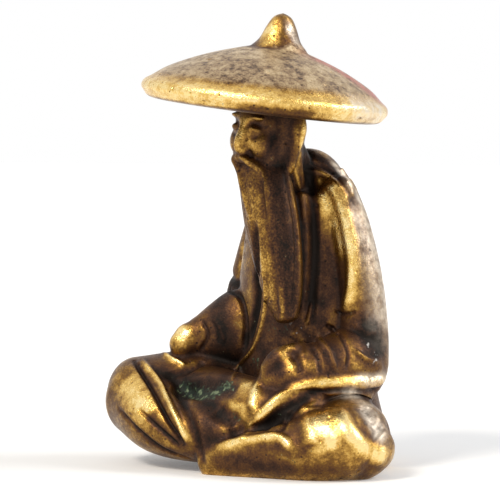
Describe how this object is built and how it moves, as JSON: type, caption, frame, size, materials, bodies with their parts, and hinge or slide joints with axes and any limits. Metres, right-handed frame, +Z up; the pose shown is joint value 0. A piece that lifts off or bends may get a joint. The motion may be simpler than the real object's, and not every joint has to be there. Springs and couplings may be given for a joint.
{
  "type": "fisherman figurine",
  "caption": "Small cast brass figurine of a bearded fisherman sitting cross-legged in a loose robe under a broad conical hat.",
  "frame": {"origin": "on the flat underside, below the middle of the seated body", "axes": "+Z up through the hat, -Y the way the figure sits facing, +X the figure's left"},
  "size_m": [0.0363, 0.0287, 0.0499],
  "materials": {
    "aged_brass": "cast, dark patina in the hollows, rubbed bright on the high places"
  },
  "bodies": {
    "root": {"fisherman": "aged_brass"}
  },
  "joints": []
}
